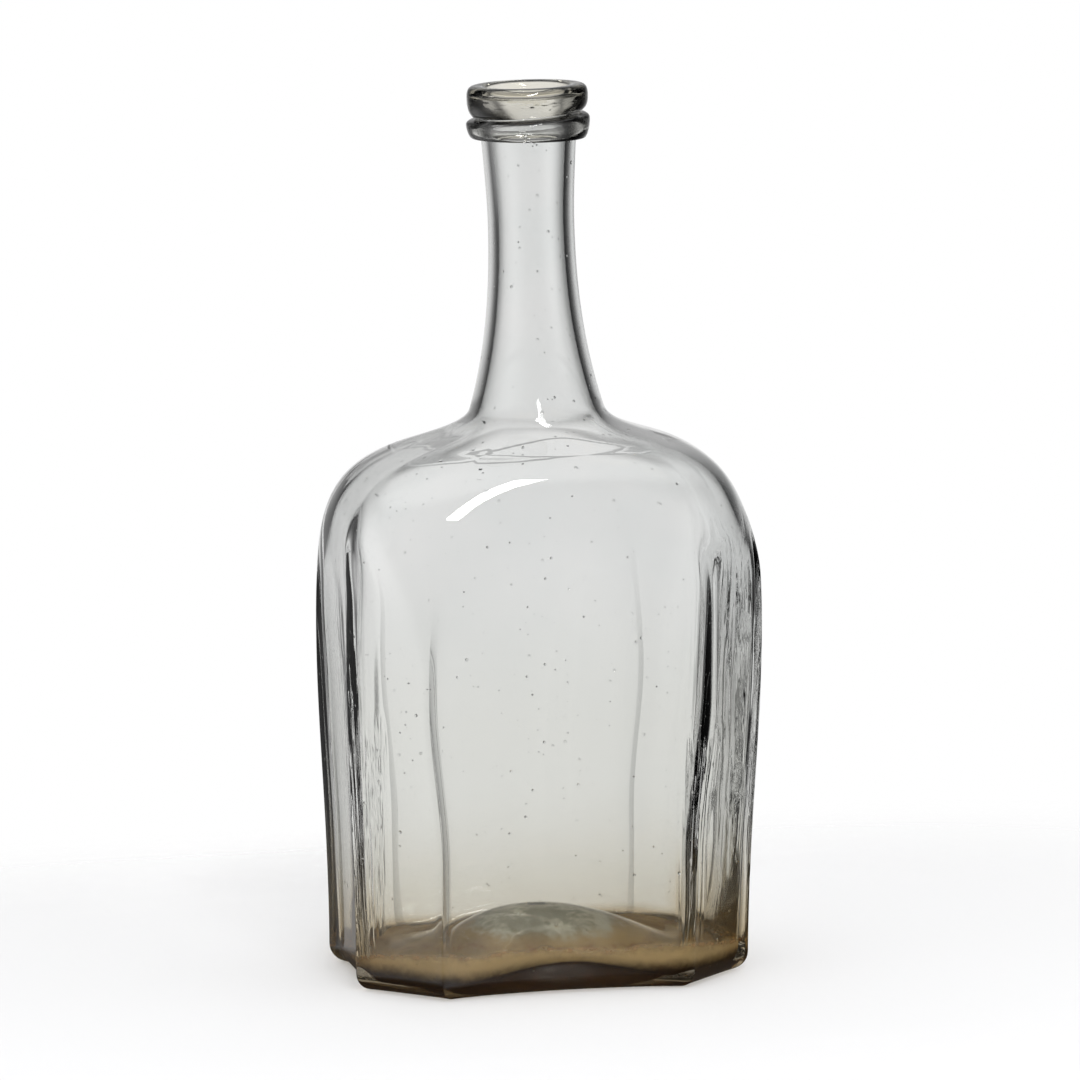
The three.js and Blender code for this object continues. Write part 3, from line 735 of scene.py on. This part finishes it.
def blownSkin(name, inside):
    # the outer skin has ripples and seeds alone; the inner one also has the deeper relief
    material, nodes = newMaterial(name)
    look = blownGlass
    place = nodes.node("ShaderNodeTexCoord", out="Object")
    x, y, z = nodes.parts(place)
    rough = nodes.noise(place, look["seamGrain"], detail=4, roughness=0.7) - 0.5
    relief = nodes.drawn(place, look["wave"]) - seeds(nodes, place)
    if inside:
        nearSeam = nodes.smooth((x - look["seamPlace"]).math("ABSOLUTE"), look["seamWidth"], 0)
        seam = nearSeam * nodes.smooth(y, *look["seamBack"]) * nodes.smooth(z, *look["seamHeights"])
        relief = relief + rough * seam * look["seamDepth"]
        relief = relief + sideStreaks(nodes, place, x, y, z) + backShoulder(nodes, x, y, z)
    normal = nodes.node("ShaderNodeBump", None, {"Strength": 1, "Distance": 1, "Height": relief})
    cloud = nodes.noise(place, look["cloud"], detail=3, roughness=0.5)
    colour = nodes.blend(nodes.smooth(cloud, *glass["cloudEdges"]), *look["tints"])
    colour = nodes.blend(nodes.smooth(z, *look["warmHeights"]), colour, look["warm"])
    # the glass turns brown at the feet of both ends, and more so towards the heel
    atEnds = nodes.smooth(x.math("ABSOLUTE"), *look["endReach"]) * nodes.smooth(z, *look["endHeights"])
    colour = nodes.blend(atEnds, colour, look["endBrown"])
    colour = nodes.blend(nodes.smooth(z, *look["heelBrownHeights"]), colour, look["heelBrown"])
    scuffed = nodes.smooth(z, *look["wornHeights"]) * nodes.smooth(rough, *look["wornEdges"]) * look["worn"]
    glassSurface(nodes, colour, scuffed, normal)
    return material


driedFilmAndPaintedShading = {
    "brown": (0.05, 0.024, 0.01, 1), "umber": (0.1, 0.07, 0.035, 1), "tan": (0.62, 0.45, 0.22, 1),
    "rust": (0.3, 0.12, 0.06, 1), "grey": (0.5, 0.48, 0.38, 1), "paleGrey": (0.72, 0.68, 0.55, 1),
    "darkGrey": (0.34, 0.33, 0.25, 1), "film": (0.64, 0.57, 0.41, 1), "clear": (1, 1, 1, 1),
    "roughness": 0.95, "translucency": 0.4,
    "cloudScale": 55, "cloudSpread": 0.008, "fineScale": 420, "fineSpread": 0.002,
    # heights, m: the crest turns grey, and the foot of the wall is painted pale, a painted light from below
    "greyHeights": (0.0112, 0.0138), "paleHeights": (0.004, 0.009),
    # the film on the wall ends in a crust along a tide line that leans forward, under a thin haze
    "tide": 0.0068, "tideLean": 0.16, "thickEdge": (0.002, -0.003), "wallCover": 0.9,
    "crustEdge": (0.0011, 0.0002), "crustBreaks": (0.44, 0.58), "crustCover": 0.7,
    "haze": 0.052, "hazeCover": 0.05, "hazeTint": 0.38,
    # the far part of the floor is cleaner
    "cleanBack": (0.003, 0.012), "cleanWander": 0.02, "cleanHeights": (0.012, 0.009),
    "cleanShare": 0.4, "floorCover": 0.97,
    # where the noise turns one colour into the next, how strongly, and where the floor turns up into the wall
    "rustPatches": (0.56, 0.7), "rustShare": 0.6, "brownPatches": (0.62, 0.4), "brownShare": 0.45,
    "palePatches": (0.4, 0.62), "paleGrain": 0.5, "wallTurn": (0.84, 0.6), "wallWander": 0.3,
}


def driedDepositAndPaintedShading():
    material, nodes = newMaterial("dried_deposit_and_painted_shading")
    look = driedFilmAndPaintedShading
    place = nodes.node("ShaderNodeTexCoord", out="Object")
    x, y, z = nodes.parts(place)
    cloud = nodes.noise(place, look["cloudScale"], detail=5, roughness=0.6)
    fine = nodes.noise(place, look["fineScale"], detail=4, roughness=0.7)
    height = z + (cloud - 0.5) * look["cloudSpread"] + (fine - 0.5) * look["fineSpread"]
    upright = nodes.parts(nodes.node("ShaderNodeNewGeometry", out="Normal"))[2].math("ABSOLUTE")
    onWall = nodes.smooth(upright + (cloud - 0.5) * look["wallWander"], *look["wallTurn"])

    # the floor's upper side: tan with rust, grey on the crest; its underside and the wall: brown painted
    # shade
    rusty = nodes.smooth(fine, *look["rustPatches"]) * look["rustShare"]
    darker = nodes.smooth(cloud, *look["brownPatches"]) * look["brownShare"]
    tan = nodes.blend(darker, nodes.blend(rusty, look["tan"], look["rust"]), look["brown"])
    mottled = nodes.smooth(cloud + (fine - 0.5) * look["paleGrain"], *look["palePatches"])
    grey = nodes.blend(mottled, look["darkGrey"], look["paleGrey"])
    greyShare = nodes.smooth(height, *look["greyHeights"])
    onFloor = nodes.blend(greyShare, tan, grey)
    above = nodes.node("ShaderNodeNewGeometry", out="Backfacing")
    underside = nodes.blend(cloud, look["brown"], look["umber"])
    # painted light: on the wall the film turns from brown to tan between these heights, drawn as if lit from
    # below
    paintedLightFoot = nodes.smooth(height, *look["paleHeights"]) * onWall
    underside = nodes.blend(paintedLightFoot, underside, look["tan"])
    # painted shade: the film's underside, seen from below through the floor, and its lower wall are drawn
    # dark brown
    below = onWall.math("MAXIMUM", 1 - above)
    tone = nodes.blend(below, onFloor, underside)

    # above the foot of the wall the film thins out, with a crusty line where it ends
    tide = height - look["tide"] + y * look["tideLean"]
    thick = nodes.smooth(tide, *look["thickEdge"]) * look["wallCover"]
    nearTide = nodes.smooth(tide.math("ABSOLUTE"), *look["crustEdge"])
    crust = nearTide * nodes.smooth(fine, *look["crustBreaks"]) * look["crustCover"]
    tone = nodes.blend(crust, tone, look["rust"])
    haze = nodes.smooth(height, look["haze"], look["tide"]) * look["hazeCover"]
    far = nodes.smooth(y + (cloud - 0.5) * look["cleanWander"], *look["cleanBack"])
    clean = far * nodes.smooth(height, *look["cleanHeights"])
    floorCover = look["floorCover"] * (1 - clean * look["cleanShare"])
    cover = mix(floorCover, thick.math("MAXIMUM", crust).math("MAXIMUM", haze), onWall)

    dull = nodes.node("ShaderNodeBsdfPrincipled", None, {
        "Base Color": tone, "Roughness": look["roughness"], "Specular IOR Level": 0.0})
    glowing = {name: nodes.plain("Translucent", look[name]) for name in ("tan", "grey", "brown")}
    glow = nodes.either(greyShare, glowing["tan"], glowing["grey"])
    # the translucent part turns brown under the same painted shade
    glow = nodes.either(below * (1 - paintedLightFoot), glow, glowing["brown"])
    matter = nodes.either(look["translucency"], dull, glow)
    clear, tinted = (nodes.plain("Transparent", look[name]) for name in ("clear", "film"))
    film = nodes.either(nodes.smooth(height, look["haze"], 0) * look["hazeTint"], clear, tinted)
    nodes.finish(nodes.either(cover, film, matter))
    return material


glassBody.data.materials.append(blownSkin("blown_glass", False))
glassBody.data.materials.append(blownSkin("blown_glass_inside", True))
firstInside = (len(outerGrid) - 1) * around
for index, face in enumerate(glassBody.data.polygons):
    face.material_index = 1 if index >= firstInside else 0
collar.data.materials.append(thickGlass("trailed_glass"))
stringRing.data.materials.append(thickGlass("trailed_glass_grey"))
scar.data.materials.append(thickGlass("broken_glass"))
deposit.data.materials.append(driedDepositAndPaintedShading())
print("materials made")


# The studio: world, floor and lamp
studio = {
    "dark": 0.012,          # the screens round the pale cards
    "soft": 0.9,            # light that the room gives to dull surfaces
    "fall": 8.0,            # how fast a card darkens away from its middle
    "leastFlat": 1e-4,      # keeps the heading real straight up and down
    # each pale card: heading of its middle, how low and high it reaches (sine of the elevation), brightness
    "cards": (
        (78, -0.62, 0.62, 0.86), (135, -0.8, -0.24, 0.85),
        (180, -0.5, 0.5, 0.86), (-45, -0.7, 0.5, 0.86),
    ),
    "lowEdge": 0.12, "highEdge": 0.15,          # how soft a card's lower and upper edges are
    "upper": 0.54, "upperFrom": (-0.02, 0.12),  # the card's upper part is this much of its brightness
    "overhead": 0.8, "overheadFrom": (0.62, 0.82),      # a large pale panel overhead
    "white": (1, 1, 1, 1),
    # the table seen through the glass near the foot takes a dark painted shadow colour
    "floorGlow": 0.07, "floorColour": (0.74, 0.74, 0.745, 1), "floorShadowInGlass": (0.1, 0.09, 0.08, 1),
    "floorHalf": 6.0, "floorDrop": -0.0002,
    # the table shows as far as the foot in glass, and a few times as far to the camera
    "footReach": (0.062, 0.042), "footPower": 4, "inGlassFrom": (1, 1.15), "inViewFrom": (2.5, 5),
    "keyEnds": ((-12, 24), (12, 51)),           # azimuth and elevation of the two ends of the strip lamp
    "keyDistance": 1.4, "keyWidth": 0.16, "keyPower": 11, "keyTarget": (0, 0, 0.15),
}


def makeWorld():
    # the camera sees plain white, glass sees the cards between dark screens, dull surfaces a soft even room
    world = bpy.data.worlds.new("studio")
    bpy.context.scene.world = world
    world.use_nodes = True
    nodes = Nodes(world.node_tree)
    x, y, z = nodes.parts(nodes.node("ShaderNodeTexCoord", out="Generated"))
    flat = (x * x + y * y).math("SQRT").math("MAXIMUM", studio["leastFlat"])
    upper = 1 - nodes.smooth(z, *studio["upperFrom"]) * (1 - studio["upper"])
    level = None
    for heading, low, high, bright in studio["cards"]:
        turn = math.radians(heading)
        facing = ((x * math.cos(turn) + y * math.sin(turn)) / flat).math("MAXIMUM", 0)
        tall = nodes.smooth(z, low - studio["lowEdge"], low + studio["lowEdge"])
        tall = tall * nodes.smooth(z, high + studio["highEdge"], high - studio["highEdge"])
        card = facing ** studio["fall"] * tall * upper * bright
        level = card if level is None else level.math("MAXIMUM", card)
    level = level + studio["dark"] + nodes.smooth(z, *studio["overheadFrom"]) * studio["overhead"]
    camera = nodes.ray("Camera")
    inGlass = nodes.ray("Glossy").math("MAXIMUM", nodes.ray("Transmission"))
    strength = camera + (1 - camera) * (inGlass * level + (1 - inGlass) * studio["soft"])
    room = nodes.node("ShaderNodeBackground", None, {"Color": studio["white"], "Strength": strength})
    nodes.finish(room, "ShaderNodeOutputWorld")


def makeFloor():
    mesh = bpy.data.meshes.new("floor")
    half, drop = studio["floorHalf"], studio["floorDrop"]
    corners = [(-half, -half, drop), (half, -half, drop), (half, half, drop), (-half, half, drop)]
    mesh.from_pydata(corners, [], [(0, 1, 2, 3)])
    floor = bpy.data.objects.new("floor", mesh)
    bpy.context.scene.collection.objects.link(floor)
    material, nodes = newMaterial("floor_white")
    camera = nodes.ray("Camera")
    inGlass = nodes.ray("Transmission").math("MAXIMUM", nodes.ray("Glossy"))
    # painted shadow: where the glass shows the table near the foot, it is drawn dark
    plain, shadedTable = (nodes.plain("Diffuse", studio[name]) for name in ("floorColour", "floorShadowInGlass"))
    glow = {"Color": studio["white"], "Strength": camera * studio["floorGlow"]}
    lift = nodes.node("ShaderNodeEmission", None, glow)
    table = nodes.node("ShaderNodeAddShader", None, {0: nodes.either(inGlass, plain, shadedTable), 1: lift})
    x, y, z = nodes.parts(nodes.node("ShaderNodeTexCoord", out="Object"))
    (width, depth), power = studio["footReach"], studio["footPower"]
    away = ((x / width) ** power + (y / depth) ** power) ** (1 / power)
    beyond = inGlass * nodes.smooth(away, *studio["inGlassFrom"])
    beyond = beyond + camera * nodes.smooth(away, *studio["inViewFrom"])
    nodes.finish(nodes.either(beyond, table, nodes.plain("Transparent", studio["white"])))
    mesh.materials.append(material)


def makeKey():
    # a long narrow softbox between two directions, facing the carafe
    def towards(azimuth, elevation):
        a, e = math.radians(azimuth), math.radians(elevation)
        return Vector((math.sin(a) * math.cos(e), -math.cos(a) * math.cos(e), math.sin(e)))

    first, last = (towards(*end) * studio["keyDistance"] for end in studio["keyEnds"])
    data = bpy.data.lights.new("key_softbox", "AREA")
    data.shape = "RECTANGLE"
    data.size, data.size_y = (last - first).length, studio["keyWidth"]
    data.energy = studio["keyPower"]
    lamp = bpy.data.objects.new("key_softbox", data)
    bpy.context.scene.collection.objects.link(lamp)
    along = (last - first).normalized()
    middle = (first + last) / 2
    across = middle.normalized().cross(along).normalized()
    turned = Matrix((along, across, along.cross(across))).transposed().to_4x4()
    lamp.matrix_world = Matrix.Translation(Vector(studio["keyTarget"]) + middle) @ turned


makeWorld()
makeFloor()
makeKey()
print("studio made")


# Hand over to the frame
for piece, node, slot in (
    (glassBody, "glass_body", "blown_glass"),
    (collar, "lip_collar", "trailed_glass"),
    (stringRing, "string_ring", "trailed_glass"),
    (scar, "pontil_scar", "broken_glass"),
):
    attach(piece, "root")
    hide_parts(node)
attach(deposit, "root")
